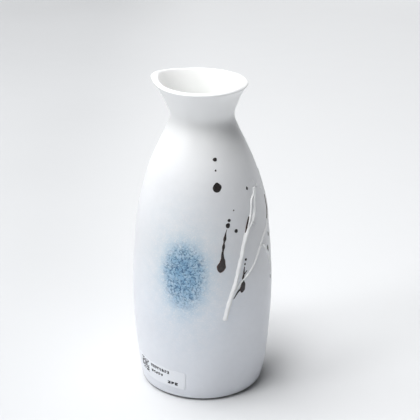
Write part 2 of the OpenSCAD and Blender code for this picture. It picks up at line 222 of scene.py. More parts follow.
def loft(rings, closed=False, seams=()):
    """Points, faces and sharp edges of a skin through rings of points. It closes on itself, or
    with a fan at each end. Seams are the rings whose edges stay sharp."""
    count, turns = rings.shape[:2]
    start = np.arange(count if closed else count - 1)[:, None] * turns
    after = (start + turns) % (count * turns)
    k = np.arange(turns)
    j = (k + 1) % turns
    quads = np.broadcast_arrays(start + k, start + j, after + j, after + k)
    faces = np.stack(quads, -1).reshape(-1, 4).tolist()
    points = rings.reshape(-1, 3)
    if not closed:
        points = np.vstack([points, rings[0].mean(0), rings[-1].mean(0)])
        head, tail = count * turns, count * turns + 1
        base = (count - 1) * turns
        faces += [[head, b, a] for a, b in zip(k.tolist(), j.tolist())]
        faces += [[tail, base + a, base + b] for a, b in zip(k.tolist(), j.tolist())]
    sharp = [np.stack([s % count * turns + k, s % count * turns + j], -1) for s in seams]
    return points, faces, np.vstack(sharp) if sharp else ()


def slab(top, bottom):
    """Points and faces of a closed sheet between two grids of the same size."""
    rows, cols = top.shape[:2]
    i = (np.arange(rows - 1)[:, None] * cols + np.arange(cols - 1)).ravel()
    over = np.stack([i, i + 1, i + 1 + cols, i + cols], -1)
    under = over[:, ::-1] + rows * cols
    edge = np.concatenate([
        np.arange(cols - 1), np.arange(rows - 1) * cols + cols - 1,
        np.arange(cols - 1, 0, -1) + (rows - 1) * cols, np.arange(rows - 1, 0, -1) * cols,
    ])
    after = np.roll(edge, -1)
    rim = np.stack([after, edge, edge + rows * cols, after + rows * cols], -1)
    return np.concatenate([top.reshape(-1, 3), bottom.reshape(-1, 3)]), np.vstack([over, under, rim]).tolist()


def joined(parts):
    """Several (points, faces) as one."""
    points, faces, start = [], [], 0
    for p, f in parts:
        points.append(p)
        faces += [[v + start for v in face] for face in f]
        start += len(p)
    return np.vstack(points), faces


def note(made, name, values):
    """Stores one number per vertex for the material to read."""
    layer = made.data.attributes.new(name, "FLOAT", "POINT")
    layer.data.foreach_set("value", np.asarray(values, np.float32).ravel())


# ---- Materials ----

# Colours. Where a material has two, grain mixes them.
WHITE = (0.785, 0.797, 0.82), (0.76, 0.772, 0.80)
# Painted light: brighter and bluer colour low on the belly, standing in for light that falls there.
WHITE_LOW_PAINTED_LIGHT = (0.85, 0.875, 0.93), (0.825, 0.85, 0.905)
# Painted light: whiter colour on the neck and shoulder, standing in for light from above and in front.
WHITE_NECK_PAINTED_LIGHT = (0.895, 0.905, 0.91)
# Inside the mouth: painted light on the left, painted shade to the right, and one colour it moves half way to
# deeper down.
LINER_PAINTED_LIGHT = (0.96, 0.965, 0.96), (0.94, 0.945, 0.94)
LINER_PAINTED_SHADE, LINER_DEEP = (0.73, 0.74, 0.73), (0.84, 0.855, 0.84)
SPECK = (0.32, 0.27, 0.22)
SLIP = (0.89, 0.90, 0.905), (0.86, 0.87, 0.88)
IRON = (0.011, 0.009, 0.009), (0.03, 0.023, 0.021)
# Painted sheen first: grey-brown where the iron lies thickest. Then the red-brown of its thin edge.
IRON_PAINTED_SHEEN, IRON_RUST = (0.055, 0.044, 0.045), (0.15, 0.062, 0.045)
CLAY, CLAY_PORE = ((0.74, 0.71, 0.65), (0.64, 0.60, 0.53)), (0.28, 0.22, 0.17)
ADHESIVE = (0.72, 0.69, 0.58), (0.78, 0.75, 0.65)
PAPER = (0.93, 0.955, 1.0), (0.90, 0.925, 0.975)
INK = (0.02, 0.02, 0.024), (0.09, 0.09, 0.10)
# Floor: painted shade on the left, painted light on the right, and a cloud over both.
FLOOR_SHADED_LEFT, FLOOR_LIT_RIGHT, FLOOR_CLOUD = (0.55, 0.56, 0.573), (0.66, 0.67, 0.683), (0.64, 0.65, 0.665)
SKY, SKY_POWER = (0.95, 0.97, 1.0, 1), 0.8     # the far background, seen by the camera only

# Share of red, green and blue that frit of density 1, and a furrow in it, let through.
FRIT_PASSES, FURROW_PASSES = (0.38, 0.6, 0.78), (0.18, 0.29, 0.42)

# Where a colour starts and stops changing, in metres: down the belly and up the neck (painted light),
# down into the mouth, and from left to right across the mouth and the floor (painted light and shade).
LOW_FROM, LOW_TO = 90 * MM, 45 * MM
NECK_FROM, NECK_TO = 108 * MM, 150 * MM
DEEP_FROM, DEEP_TO = (RIM_H - 6) * MM, (RIM_H - 30) * MM
MOUTH_FROM, MOUTH_TO = -18 * MM, 3 * MM
FLOOR_FROM, FLOOR_TO = -0.13, 0.01

# The floor glows as it gets further from a point: where that is, the distances in metres at which
# the glow starts and is full, and how strong it is then.
GLOW_AT, GLOW_FROM, GLOW_TO, GLOW = (0, 0.3, 0), 0.55, 1.4, 0.7 * SKY_POWER


def material(name, specular=0.5, coat=0.0, coat_roughness=0.1):
    """New material, its node tree and its shader, with what is the same all over already set."""
    made = bpy.data.materials.new(name)
    made.use_nodes = True
    shader = made.node_tree.nodes["Principled BSDF"]
    shader.inputs["Specular IOR Level"].default_value = specular
    shader.inputs["Coat Weight"].default_value = coat
    shader.inputs["Coat Roughness"].default_value = coat_roughness
    return made, made.node_tree, shader


def add(tree, kind, *values, out=0, **settings):
    """New node with its inputs set or linked in order. Returns one of its outputs."""
    made = tree.nodes.new("ShaderNode" + kind)
    for key, value in settings.items():
        setattr(made, key, value)
    for socket, value in zip([s for s in made.inputs if s.enabled], values):
        if isinstance(value, bpy.types.NodeSocket):
            tree.links.new(value, socket)
        elif value is not None:
            socket.default_value = value
    return made.outputs[out]


def own_place(tree):
    """Where the shaded point lies in the object's own space."""
    return add(tree, "TexCoord", out=3)


def own_axis(tree, axis):
    return add(tree, "SeparateXYZ", own_place(tree), out=axis)


def grain(tree, size, detail=2.0, stretch=(1, 1, 1)):
    """Noise from 0 to 1 whose bumps are about size millimetres across, fixed to the object."""
    spot = add(tree, "Mapping", own_place(tree), None, None, stretch, vector_type="POINT")
    return add(tree, "TexNoise", spot, 1 / (size * MM), detail)


def speckle(tree, size):
    """How far off the nearest of many points is that lie about size millimetres apart."""
    return add(tree, "TexVoronoi", own_place(tree), 1 / (size * MM))


def remap(tree, value, low, high, to_low=0.0, to_high=1.0):
    return add(tree, "MapRange", value, low, high, to_low, to_high, interpolation_type="SMOOTHSTEP")


def blend(tree, amount, first, second):
    """Mix of two colours, each a socket or (r, g, b)."""
    made = tree.nodes.new("ShaderNodeMix")
    made.data_type = "RGBA"
    for socket, value in ((made.inputs[0], amount), (made.inputs[6], first), (made.inputs[7], second)):
        if isinstance(value, bpy.types.NodeSocket):
            tree.links.new(value, socket)
        else:
            socket.default_value = value if socket == made.inputs[0] else (*value, 1)
    return made.outputs[2]


def calc(tree, operation, *values):
    return add(tree, "Math", *values, operation=operation)


def bump(tree, *layers):
    """Normal with several heights on it, each (height from 0 to 1, depth in millimetres)."""
    normal = None
    for height, depth in layers:
        made = tree.nodes.new("ShaderNodeBump")
        made.inputs["Distance"].default_value = depth * MM
        tree.links.new(height, made.inputs["Height"])
        if normal is not None:
            tree.links.new(normal, made.inputs["Normal"])
        normal = made.outputs["Normal"]
    return normal


def wire(tree, shader, colour, roughness, normal):
    tree.links.new(colour, shader.inputs["Base Color"])
    tree.links.new(roughness, shader.inputs["Roughness"])
    tree.links.new(normal, shader.inputs["Normal"])


def glaze_colour(tree, thick, thin):
    """Glaze that pools a little thicker and thinner in soft patches, with sparse fine iron specks."""
    pools = remap(tree, grain(tree, 24, 3), 0.35, 0.7)
    base = blend(tree, pools, thick, thin)
    fine = remap(tree, grain(tree, 3.5, 2), 0.3, 0.75, 0, 0.35)
    base = blend(tree, fine, base, tuple(0.94 * c for c in thick))
    speck = calc(tree, "LESS_THAN", speckle(tree, 4.5), 0.035)
    rare = calc(tree, "GREATER_THAN", grain(tree, 9, 1), 0.62)
    mark = calc(tree, "MULTIPLY", calc(tree, "MULTIPLY", speck, rare), 0.55)
    return blend(tree, mark, base, SPECK)


def frit_colour(tree, base):
    """Blue frit over a base colour: the thicker it lies the less red it lets through, with dark
    furrows and pale grains in it. Returns the colour, how far the frit covers and how it piles up."""
    laid = add(tree, "Attribute", out=2, attribute_name="spray")
    thick = remap(tree, laid, 0.2, 0.9)
    pale = remap(tree, grain(tree, 0.8, 3), 0.5, 0.66)
    pale = calc(tree, "MULTIPLY", pale, add(tree, "MapRange", thick, 0.0, 1.0, -0.6, -0.25))
    drift = remap(tree, grain(tree, 4, 3), 0.25, 0.75, 0.7, 1.3)
    share = calc(tree, "MAXIMUM", calc(tree, "ADD", pale, drift), 0.1)
    depth = calc(tree, "MULTIPLY", laid, share)
    passed = [calc(tree, "POWER", each, depth) for each in FRIT_PASSES]
    colour = add(tree, "VectorMath", base, add(tree, "CombineColor", *passed), operation="MULTIPLY")
    furrow = calc(tree, "ABSOLUTE", calc(tree, "SUBTRACT", grain(tree, 1.7, 2.5), 0.5))
    furrow = calc(tree, "MULTIPLY", remap(tree, furrow, 0.09, 0.025, 0, 0.95), thick)
    furrow = calc(tree, "MULTIPLY", remap(tree, grain(tree, 1.3, 1), 0.42, 0.58, 0.35, 1), furrow)
    dark = add(tree, "VectorMath", colour, FURROW_PASSES, operation="MULTIPLY")
    return blend(tree, furrow, colour, dark), thick, calc(tree, "SUBTRACT", share, furrow)


def white_glaze(name, frit=False):
    """Opaque white, with painted light in it: brighter and bluer low down and whitest on the neck. The
    sprayed frit's colour lies over it. With frit, the surface has the frit's grains as well."""
    made, tree, shader = material(name, specular=0.6)
    high = own_axis(tree, 2)
    colour = glaze_colour(tree, *WHITE)
    # Painted light: brighter and bluer low on the belly, whiter on the neck.
    colour = blend(tree, remap(tree, high, LOW_FROM, LOW_TO), colour, glaze_colour(tree, *WHITE_LOW_PAINTED_LIGHT))
    colour = blend(tree, remap(tree, high, NECK_FROM, NECK_TO), colour, WHITE_NECK_PAINTED_LIGHT)
    colour, thick, share = frit_colour(tree, colour)
    rough = remap(tree, grain(tree, 6, 3), 0.3, 0.7, 0.28, 0.36)
    layers = [(grain(tree, 1.6, 2), 0.035), (grain(tree, 8, 2), 0.12)]
    if frit:
        layers.append((calc(tree, "MULTIPLY", share, thick), 0.06))
        rough = calc(tree, "MAXIMUM", rough, calc(tree, "MULTIPLY", thick, 0.6))
    wire(tree, shader, colour, rough, bump(tree, *layers))
    return made


def liner_glaze():
    """The inside coat, with painted light and shade: whitest on the left, darker to the right, evener deeper
    down.
    """
    made, tree, shader = material("liner_glaze")
    deep = remap(tree, own_axis(tree, 2), DEEP_FROM, DEEP_TO)
    # Painted light and shade: lighter on the left of the mouth, darker to the right.
    far = remap(tree, own_axis(tree, 0), MOUTH_FROM, MOUTH_TO)
    colour = blend(tree, far, glaze_colour(tree, *LINER_PAINTED_LIGHT), LINER_PAINTED_SHADE)
    colour = blend(tree, calc(tree, "MULTIPLY", deep, 0.5), colour, LINER_DEEP)
    rough = add(tree, "MapRange", deep, 0.0, 1.0, 0.46, 0.3)
    wire(tree, shader, colour, rough, bump(tree, (grain(tree, 2.2, 2), 0.03), (grain(tree, 11, 2), 0.15)))
    return made


def slip():
    made, tree, shader = material("white_slip")
    colour = blend(tree, remap(tree, grain(tree, 4, 3), 0.3, 0.7), *SLIP)
    rough = remap(tree, grain(tree, 2, 3), 0.3, 0.7, 0.38, 0.5)
    wire(tree, shader, colour, rough, bump(tree, (grain(tree, 0.8, 2), 0.03), (grain(tree, 3, 2), 0.08)))
    return made


def iron():
    """Iron glaze: near black, red-brown at its thin edge, with a grey-brown painted sheen where it
    lies thickest, which is also made more matt there."""
    made, tree, shader = material("iron_glaze", specular=0.4, coat=0.1, coat_roughness=0.25)
    edge = add(tree, "Attribute", out=2, attribute_name="edge")
    edge = calc(tree, "ADD", edge, remap(tree, grain(tree, 0.8, 3), 0, 1, -0.2, 0.2))
    # Painted sheen where the iron lies thickest, which is also made more matt.
    painted_sheen = add(tree, "Attribute", out=2, attribute_name="painted_sheen")
    painted_sheen = calc(tree, "MULTIPLY", painted_sheen, remap(tree, grain(tree, 1.3, 3), 0.3, 0.6, 0.3, 1))
    body = remap(tree, grain(tree, 1.2, 4), 0.35, 0.7)
    body = blend(tree, painted_sheen, blend(tree, body, *IRON), IRON_PAINTED_SHEEN)
    colour = blend(tree, remap(tree, edge, 0.62, 1.05), body, IRON_RUST)
    rough = calc(tree, "ADD", remap(tree, grain(tree, 0.9, 3), 0.3, 0.7, 0.3, 0.45),
                 calc(tree, "MULTIPLY", painted_sheen, 0.25))
    wire(tree, shader, colour, rough, bump(tree, (grain(tree, 0.5, 2), 0.02), (grain(tree, 1.8, 2), 0.05)))
    return made


def bare_clay():
    """Fired clay on the foot: warm, matt and open-grained."""
    made, tree, shader = material("bare_clay", specular=0.3)
    colour = blend(tree, remap(tree, grain(tree, 6, 4), 0.3, 0.7), *CLAY)
    colour = blend(tree, remap(tree, grain(tree, 0.5, 2), 0.62, 0.75, 0, 0.5), colour, CLAY_PORE)
    rough = remap(tree, grain(tree, 1.5, 3), 0.3, 0.7, 0.78, 0.95)
    wire(tree, shader, colour, rough, bump(tree, (grain(tree, 0.35, 3), 0.06), (grain(tree, 2.5, 2), 0.1)))
    return made


def adhesive():
    made, tree, shader = material("adhesive", coat=0.2)
    colour = blend(tree, remap(tree, grain(tree, 2, 3), 0.3, 0.7), *ADHESIVE)
    rough = remap(tree, grain(tree, 1, 2), 0.3, 0.7, 0.5, 0.65)
    wire(tree, shader, colour, rough, bump(tree, (grain(tree, 0.6, 2), 0.02)))
    return made


def paper():
    made, tree, shader = material("label_paper", specular=0.4)
    fibres = grain(tree, 0.5, 4, stretch=(1, 1, 3))
    colour = blend(tree, remap(tree, fibres, 0.35, 0.7), *PAPER)
    rough = remap(tree, grain(tree, 0.8, 3), 0.3, 0.7, 0.5, 0.62)
    wire(tree, shader, colour, rough, bump(tree, (fibres, 0.012), (grain(tree, 6, 2), 0.05)))
    return made


def ink():
    """Thermal print: dark grey, a little broken where the head pressed lightly."""
    made, tree, shader = material("label_ink", specular=0.3)
    worn = remap(tree, grain(tree, 0.4, 3), 0.45, 0.75)
    colour = blend(tree, worn, *INK)
    rough = remap(tree, grain(tree, 0.5, 2), 0.3, 0.7, 0.5, 0.7)
    wire(tree, shader, colour, rough, bump(tree, (grain(tree, 0.3, 2), 0.006)))
    return made


def floor_paper():
    """Pale paper with painted shade, darker on the left, and a painted glow that fades it into the background
    far off.
    """
    made, tree, shader = material("floor", specular=0.2)
    # Painted shade: darker on the left, lighter to the right.
    colour = blend(tree, remap(tree, own_axis(tree, 0), FLOOR_FROM, FLOOR_TO), FLOOR_SHADED_LEFT, FLOOR_LIT_RIGHT)
    colour = blend(tree, remap(tree, grain(tree, 400, 2), 0.3, 0.7, 0, 0.3), colour, FLOOR_CLOUD)
    rough = remap(tree, grain(tree, 30, 2), 0.3, 0.7, 0.75, 0.9)
    wire(tree, shader, colour, rough, bump(tree, (grain(tree, 1.5, 3), 0.02)))
    apart = add(tree, "VectorMath", own_place(tree), GLOW_AT, operation="DISTANCE", out=1)
    glow = remap(tree, apart, GLOW_FROM, GLOW_TO, 0, GLOW)
    shader.inputs["Emission Color"].default_value = SKY
    tree.links.new(glow, shader.inputs["Emission Strength"])
    return made


# ---- The vessel ----

def turned(pairs):
    """Rings of [radius, height] that are the same all the way round."""
    pairs = np.asarray(pairs, float)
    return np.broadcast_to(pairs[:, None], (len(pairs), TURNS, 2))


def bend(centre, radius, start, stop, count):
    """Round bend as [radius, height] pairs, its angle measured up from straight down."""
    a = np.radians(np.linspace(start, stop, count))
    return np.stack([centre[0] + radius * np.sin(a), centre[1] - radius * np.cos(a)], -1)


def heights(low, high, step):
    return np.linspace(low, high, max(2, round((high - low) / step) + 1))


def outside(inset, step, levels):
    """Rings up the outside, from under the heel to the start of the lip."""
    heel = bend((HEEL_EDGE_R - HEEL_ROUND, HEEL_H), HEEL_ROUND - inset, 0, 80, 6)
    z = heights(HEEL_H, WAIST_H - step / 2, step)
    wall = np.stack([outer_r(z) - inset, z], -1)
    mouth = [across(AZ, t, half(AZ, t) - inset) for t in np.linspace(0, 1, levels)[:-1]]
    return np.concatenate([turned(np.vstack([heel, wall])), np.stack(mouth)])


def over_lip(inset, levels):
    """Rings over the lip: a crisp outer edge, then a half round down to the inner side."""
    h = half(AZ, 1) - inset
    rows = []
    for a in np.radians(np.linspace(0, 180, levels)):
        k = EDGE_POWER if a < np.pi / 2 else 1
        rows.append(across(AZ, 1, h * np.sign(np.cos(a)) * np.abs(np.cos(a)) ** k, h * np.sin(a) ** k))
    return np.stack(rows)


def inside(grow, step, levels):
    """Rings down the inside, from the lip's inner edge to the middle of the floor."""
    mouth = [across(AZ, t, grow - half(AZ, t)) for t in np.linspace(1, 0, levels)]
    z = heights(FLOOR_H + FLOOR_ROUND, WAIST_H - step / 2, step)[::-1]
    wall = np.stack([cavity_r(z) + grow, z], -1)
    corner = (float(outer_r(FLOOR_H + FLOOR_ROUND)) - WALL - FLOOR_ROUND, FLOOR_H + FLOOR_ROUND)
    floor_bend = bend(corner, FLOOR_ROUND + grow, 80, 0, 9)
    flat = [(r, FLOOR_H - grow) for r in np.linspace(corner[0], 0.5, 6)[1:]]
    return np.concatenate([np.stack(mouth), turned(np.vstack([wall, floor_bend, flat]))])


def make_outer_glaze(look):
    """Outside coat, over the lip to its inner edge, with a rolled end at the heel."""
    seen = swollen(AZ, np.concatenate([outside(0, WALL_STEP, MOUTH_LEVELS), over_lip(0, LIP_LEVELS)]))
    back = [outside(GLAZE, HIDDEN_STEP, HIDDEN_LEVELS), over_lip(GLAZE, HIDDEN_LEVELS)]
    back = np.concatenate(back)[::-1]
    end = (HEEL_EDGE_R - HEEL_ROUND, HEEL_H - HEEL_ROUND + GLAZE / 2)
    roll = turned(bend(end, GLAZE / 2, -150, -30, 4))
    rows = np.concatenate([seen, back, roll])
    points, faces, sharp = loft(place(AZ, rows), closed=True, seams=[len(seen) - 1])
    made = piece("outer_glaze", points, faces, look, "white_glaze", ["outer_glaze"], sharp)
    note(made, "spray", spray(np.broadcast_to(AZ, rows.shape[:2]), rows[..., 1]))


def make_liner_glaze(look):
    """Coat inside, from the middle of the floor up to the lip's inner edge and back under itself."""
    seen = swollen(AZ, inside(0, 2, MOUTH_LEVELS))[::-1]
    back = inside(GLAZE, HIDDEN_STEP, HIDDEN_LEVELS)
    points, faces, sharp = loft(place(AZ, np.concatenate([seen, back])), seams=[len(seen) - 1])
    piece("liner_glaze", points, faces, look, "liner_glaze", ["liner_glaze"], sharp)


TURNING = 0.04      # depth of the turning marks in the clay's underside
POOLING = 0.03      # and of the slow waves in the glaze under the base


def make_clay_body(look):
    """Body under the glazes: a faintly turned underside, the foot ring, then wall and cavity."""
    hub = FOOT_R - FOOT_W
    under = [(r, RECESS + TURNING * np.sin(r * 2.1)) for r in np.linspace(0.5, hub - 1, 40)]
    ring = [(hub - 0.3, RECESS), (hub, RECESS - 0.3), *[(hub, z) for z in (2, 1.2, 0.8)]]
    edge_in = bend((hub + FOOT_BEVEL, FOOT_BEVEL), FOOT_BEVEL, -90, 0, 6)
    edge_out = bend((FOOT_R - FOOT_BEVEL, FOOT_BEVEL), FOOT_BEVEL, 0, 90, 6)
    foot = turned(np.vstack([under, ring, edge_in, edge_out, [(FOOT_R, 0.8), (FOOT_R + 0.2, 1.1)]]))
    rows = np.concatenate([
        foot, outside(GLAZE, HIDDEN_STEP, HIDDEN_LEVELS)[1:], over_lip(GLAZE, HIDDEN_LEVELS),
        inside(GLAZE, HIDDEN_STEP, HIDDEN_LEVELS)[1:],
    ])
    points, faces, _ = loft(place(AZ, rows))
    piece("clay_body", points, faces, look, "bare_clay", ["clay_body"])


def make_base_glaze(look):
    """Glaze in the recess, with a rounded rim where it drew back from the foot ring."""
    edge = FOOT_R - FOOT_W - FOOT_BEVEL
    low, high = RECESS - GLAZE, RECESS
    under = [(r, low + POOLING * np.sin(r * 0.7)) for r in np.linspace(0.5, edge - 0.6, 30)]
    rim = bend((edge - GLAZE / 2, (low + high) / 2), GLAZE / 2, 0, 180, 9)
    over = [(r, high) for r in np.linspace(edge - 0.6, 0.5, 6)]
    points, faces, _ = loft(place(AZ, turned(np.vstack([under, rim, over]))))
    made = piece("base_glaze", points, faces, look, "white_glaze", ["base_glaze"])
    note(made, "spray", np.zeros(len(points)))


# ---- The blue patch ----

BLUE_LOW, BLUE_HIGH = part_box("blue_patch")
BLUE_H = (BLUE_LOW.z + BLUE_HIGH.z) / 2 / MM
BLUE_AZ, BLUE_W, BLUE_LEN, BLUE_RELIEF = -14.5, 27, 43, 0.2
DENSITY = 0.94             # how densely the frit lies at the patch's core, without the mist
PEAK_UP = 5                # how far the core is above the patch's middle
FADE = (9.8, 12.2, 16.7)   # how far from the core half of it is left: sideways, upwards, downwards
MIST, MIST_REACH = 0.22, 1.9     # density of the thin mist round it, and its reach against the patch's
PATCH_ROWS, PATCH_COLS = 150, 106
PATCH_FOOT = 0.12          # how deep the patch's foot goes into the glaze
GRAINS, GRAIN_SIZES = 1500, (0.3, 0.75)


def spray(az, z):
    """Density of the frit there, where 1 lets FRIT_PASSES of the light through."""
    over = np.radians(swing(az, BLUE_AZ)) * BELLY_R / FADE[0]
    up = z - BLUE_H - PEAK_UP
    r = np.hypot(over, up / np.where(up > 0, FADE[1], FADE[2]))
    return DENSITY * 2 ** -r ** 3 + MIST * 2 ** -(r / MIST_REACH) ** 2


def make_blue_patch(look):
    """Sprayed frit, a skin of fused grains that thins out to nothing at its edge."""
    v, u = np.meshgrid(np.linspace(-1, 1, PATCH_ROWS), np.linspace(-1, 1, PATCH_COLS), indexing="ij")
    x, y = u * np.sqrt(1 - v * v / 2), v * np.sqrt(1 - u * u / 2)
    z = BLUE_H + y * BLUE_LEN / 2
    az = BLUE_AZ + degrees(x * BLUE_W / 2, z)
    rng = np.random.default_rng(11)
    far = np.sqrt(rng.uniform(0, 1, GRAINS))
    turn = rng.uniform(0, 2 * np.pi, GRAINS)
    size = rng.uniform(*GRAIN_SIZES, GRAINS)
    grains = np.stack([far * np.cos(turn) * BLUE_W / 2, far * np.sin(turn) * BLUE_LEN / 2], -1)
    here = np.stack([x * BLUE_W / 2, y * BLUE_LEN / 2], -1).reshape(-1, 2)
    height = np.zeros(len(here))
    for spot, radius, share in zip(grains, size, far):
        near = ((here - spot) ** 2).sum(-1) / radius ** 2
        height = np.maximum(height, np.sqrt(np.maximum(1 - near, 0)) * radius * (1 - share ** 3))
    reach = np.hypot(x, y)
    skin = BLUE_RELIEF * (0.35 * (1 - reach ** 2) + 0.5 * height.reshape(x.shape) * ease((1 - reach) * 4))
    top = lifted(az, z, np.where(reach > 0.985, -PATCH_FOOT * 2 / 3, skin))
    points, faces = slab(top, lifted(az, z, -PATCH_FOOT))
    made = piece("blue_patch", points, faces, look, "blue_frit", ["blue_patch"])
    note(made, "spray", np.tile(spray(az, z).ravel(), 2))


# ---- Trails and marks laid on the wall ----

SECTION = np.linspace(-1, 1, 15)       # places across a trail
SUNK = 0.15                            # how deep a trail's foot goes into the glaze
THICK_RELIEF, THIN_RELIEF, DROP_RELIEF, IRON_RELIEF = 1.1, 0.7, 0.35, 0.3
SLIP_SPREAD, IRON_SPREAD = 1.4, 1.15   # width of the feathered foot against the CAD solid's
SLIP_WOBBLE, IRON_WOBBLE = 0.08, 0.07  # how unevenly a trail is drawn
LEAST_HALF = 0.12                      # half width of the thinnest line drawn
# Paths of the trails: azimuth, height, half width.
LONG_PATH = [
    (61.5, 114, .4), (59.5, 110.5, .5), (56.5, 107.5, .5), (54.5, 103, .6), (50.5, 99.5, .9), (44, 95.5, 1.1),
    (40, 91.5, 1.2), (37, 87, 1), (34.5, 81.5, 1), (32, 77, 1.1), (29.5, 71.5, .9), (26.5, 65.5, 1.1),
    (23.5, 60.5, 1), (21, 55, 1), (19.5, 51, 1.1), (18.5, 48.5, .9),
]
TWIN_PATH = [
    (60, 114, .3), (57.5, 111, .4), (53, 109, .5), (50.5, 106, .4), (48.5, 102.5, .4), (45.5, 99, .5),
    (42.5, 96, .4),
]
THIN_PATH = [
    (26.5, 63.5, .4), (30, 66, .4), (34.5, 69, .4), (40.5, 71.5, .4), (46, 74.5, .4), (50, 77.5, .5),
    (53, 80, .5), (56, 82.5, .5), (59.5, 83.5, .5), (62, 83.5, .4),
]
FORK_PATH = [
    (61, 83.5, .4), (65, 82, .6), (68, 79, .6), (71.5, 75.5, .6), (75, 71, .6), (77.5, 67, .5),
    (79, 63.5, .3),
]
ARC_PATH = [
    (97, 118, .3), (95, 112, .4), (90.5, 105, .8), (86, 98.5, .8), (80, 94, .7), (74, 91, .7), (68, 89, .6),
    (62, 86.5, .6), (57.5, 83.5, .4),
]
DROP_PATHS = [
    [(62, 117.5, .3), (63, 117, .4), (63.5, 116, .3)], [(64.5, 114, .3), (66.5, 114, .4), (69, 114.5, .3)],
    [(75.5, 111, .3), (76.5, 110.5, .5), (77.5, 110, .3)], [(51.5, 97.8, .3), (51, 97, .4), (50.5, 96.2, .3)],
]
DRIP_LEFT = [
    (22, 97.8, .2), (21, 96.5, .2), (20.3, 95, .5), (19.6, 93, .8), (18.8, 91, .4), (18.3, 89, .9),
    (17.8, 87.3, .5), (17.2, 85.3, .7), (17.2, 83, .9), (17.2, 81.5, 1.5), (16.6, 79.8, 2), (15.8, 78, 2.2),
    (15.2, 76.4, 1.7), (14.8, 75.4, .7),
]
DRIP_RIGHT = [
    [(37.2, 76.3, .2), (36.5, 74.3, .4), (36, 72, .5), (35.2, 70.3, .6), (35.2, 68.6, .6), (35.2, 67, 1.3),
     (34.8, 65.6, 1.5), (34.1, 64, 1.4), (33.6, 62.3, .4)],
    [(40, 73.8, .2), (38.3, 73.1, .3), (36.4, 71.8, .4)],
    [(33.5, 64.8, .5), (31, 64, .5), (29, 62.7, .4), (27.3, 61.1, .3), (26, 59.9, .2)],
]
STREAKS = [
    [(46, 101.5, .2), (44, 99.6, .4), (42.2, 97.3, .5), (40.7, 94.9, .4), (39, 92.5, .2)],
    [(87.6, 105, .2), (86, 101.8, .25), (83.5, 98.7, .25), (80.3, 96, .25), (76.5, 94, .2)],
]
# Spots of iron: azimuth, height, half width, half height.
SPOTS = [
    (16, 131.5, 1, .8), (15.5, 126.5, .4, .4), (15.5, 118.5, 2.2, 2.2), (50, 115, .6, .8),
    (30, 106.5, .3, .3), (24.5, 102, .8, .7), (23, 99.5, 1.1, 1.2), (30.5, 96, .9, .9),
    (38.8, 79.7, .6, .6), (37.7, 77.4, .4, .6), (77, 85.5, .6, 1.2), (72.5, 78, .9, 2.3),
    (76.5, 61.5, .4, 1.2),
]


def smooth(path, spacing=0.45):
    """The path as a dense curve through its places (Catmull-Rom)."""
    p = np.array([path[0], *path, path[-1]], float)
    made = []
    for a, b, c, d in zip(p, p[1:], p[2:], p[3:]):
        arc = np.hypot(np.radians(c[0] - b[0]) * outer_r(b[1]), c[1] - b[1])
        count = max(2, int(arc / spacing))
        for t in np.arange(count) / count:
            made.append(0.5 * (2 * b + (c - a) * t + (2 * a - 5 * b + 4 * c - d) * t ** 2
                               + (3 * b - a - 3 * c + d) * t ** 3))
    return np.array([*made, p[-1]])


def ridge(path, relief, widest, spread, profile, seed, wobble):
    """Closed ridge along a path, with an uneven width and height and round ends."""
    p = smooth(path)
    step = np.gradient(p, axis=0)
    along = np.stack([np.radians(step[:, 0]) * outer_r(p[:, 1]), step[:, 1]], -1)
    pace = np.linalg.norm(along, axis=1)
    side = np.stack([along[:, 1], -along[:, 0]], -1) / pace[:, None]
    gone = np.cumsum(pace) - pace[0]
    rough = waves(np.stack([gone, 0 * gone, 0 * gone + seed], -1), 4, seed)
    half = np.maximum(p[:, 2], LEAST_HALF) * (1 + wobble * rough)
    left = np.minimum(gone, gone[-1] - gone)
    end = np.sqrt(1 - (1 - np.clip(left / half, 0.002, 1)) ** 2)
    width = spread * half * end
    high = relief * np.sqrt(half / widest) * end * (1 + wobble * np.roll(rough, 5))
    top = width[:, None] * SECTION
    lift = high[:, None] * profile(np.abs(SECTION)) - SUNK * (np.abs(SECTION) > 0.99)
    offsets = np.concatenate([top, top[:, -2:0:-2]], 1)
    lifts = np.concatenate([lift, np.full((len(p), top[:, -2:0:-2].shape[1]), -SUNK)], 1)
    z = p[:, 1, None] + offsets * side[:, 1, None]
    az = p[:, 0, None] + degrees(offsets * side[:, 0, None], p[:, 1, None])
    points, faces, _ = loft(lifted(az, z, lifts))
    edge = np.abs(np.concatenate([SECTION, SECTION[-2:0:-2] * 0 + 1]))
    edge = 1 - (1 - edge)[None] * np.clip(left / half, 0, 1)[:, None]
    # Where the trail lies thickest, which gets the painted sheen on iron.
    painted_sheen = np.clip((half / spread - 0.9) / 0.7, 0, 1)[:, None] * (1 - edge ** 2)
    return (points, faces), np.append(edge.ravel(), (1, 1)), np.append(painted_sheen.ravel(), (0, 0))


def slip_profile(s):
    return (1 - s ** 2) ** 1.6


def film_profile(s):
    return (1 - s ** 4) ** 0.8


def make_trail(name, paths, relief, look):
    widest = max(p[2] for path in paths for p in path)
    made = [ridge(path, relief, widest, SLIP_SPREAD, slip_profile, len(name) + i, SLIP_WOBBLE)
            for i, path in enumerate(paths)]
    piece(name, *joined([m[0] for m in made]), look, "white_slip", [name])


def make_iron(name, paths, look):
    widest = max(p[2] for path in paths for p in path)
    made = [ridge(path, IRON_RELIEF, widest, IRON_SPREAD, film_profile, len(name) + i, IRON_WOBBLE)
            for i, path in enumerate(paths)]
    drip = piece(name, *joined([m[0] for m in made]), look, "iron_glaze", [name])
    note(drip, "edge", np.concatenate([m[1] for m in made]))
    note(drip, "painted_sheen", np.concatenate([m[2] for m in made]))


SPOT_SPREAD = 0.08     # how far a spot's thin edge runs past the CAD solid
SPOT_TURNS = 40        # places round a spot
SPOT_LOBES = 0.022     # how far its edge wanders, as a share of its size
SPOT_RUST = 0.65       # how red-brown its edge is against a drip's


